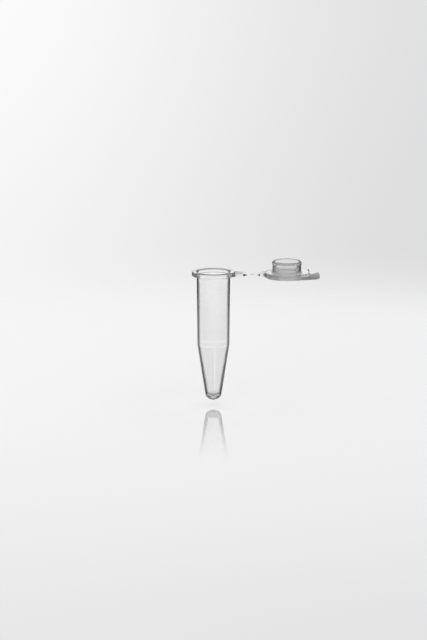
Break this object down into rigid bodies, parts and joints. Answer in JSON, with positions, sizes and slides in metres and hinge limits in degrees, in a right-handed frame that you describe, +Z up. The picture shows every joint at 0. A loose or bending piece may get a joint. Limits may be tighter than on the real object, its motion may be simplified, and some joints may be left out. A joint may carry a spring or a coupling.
{
  "type": "microcentrifuge tube",
  "caption": "Small clear snap-lid sample tube: tapered barrel with a rim collar, and a lid with a sealing plug and thumb tab on a folding strap.",
  "frame": {"origin": "on the tube's axis, in the plane of the collar's underside, where the tube hangs in a rack", "axes": "+Z up along the tube's axis towards the mouth, +X from the tube along the strap to the open lid, +Y across the strap"},
  "size_m": [0.0298, 0.0104, 0.0334],
  "materials": {
    "tube_wall": "clear natural polypropylene, smooth moulded gloss",
    "rim": "clear natural polypropylene, smooth moulded gloss",
    "strap": "clear natural polypropylene, flexed film and arms",
    "lid": "clear natural polypropylene, thick and slightly hazy",
    "plug": "clear natural polypropylene, polished sealing surface"
  },
  "bodies": {
    "tube": {"tube_body": "tube_wall", "rim_collar": "rim", "strap_tube_arm": "strap"},
    "strap_film": {"hinge_film": "strap"},
    "lid": {"strap_lid_arm": "strap", "lid_plate": "lid", "seal_plug": "plug", "thumb_tab": "lid"}
  },
  "joints": [
    {"name": "tube_fold", "type": "hinge", "parent": "tube", "child": "strap_film", "pos_m": [0.00801, 0, 0.00035], "axis": [0, -1, 0], "range_deg": [0, 90], "stiffness_Nm_per_rad": 0.0002},
    {"name": "lid_fold", "type": "hinge", "parent": "strap_film", "child": "lid", "pos_m": [0.00915, 0, 0.00035], "axis": [0, -1, 0], "range_deg": [0, 90], "stiffness_Nm_per_rad": 0.0002}
  ],
  "couplings": [
    {"joint": "lid_fold", "follows": "tube_fold", "ratio": 1}
  ]
}
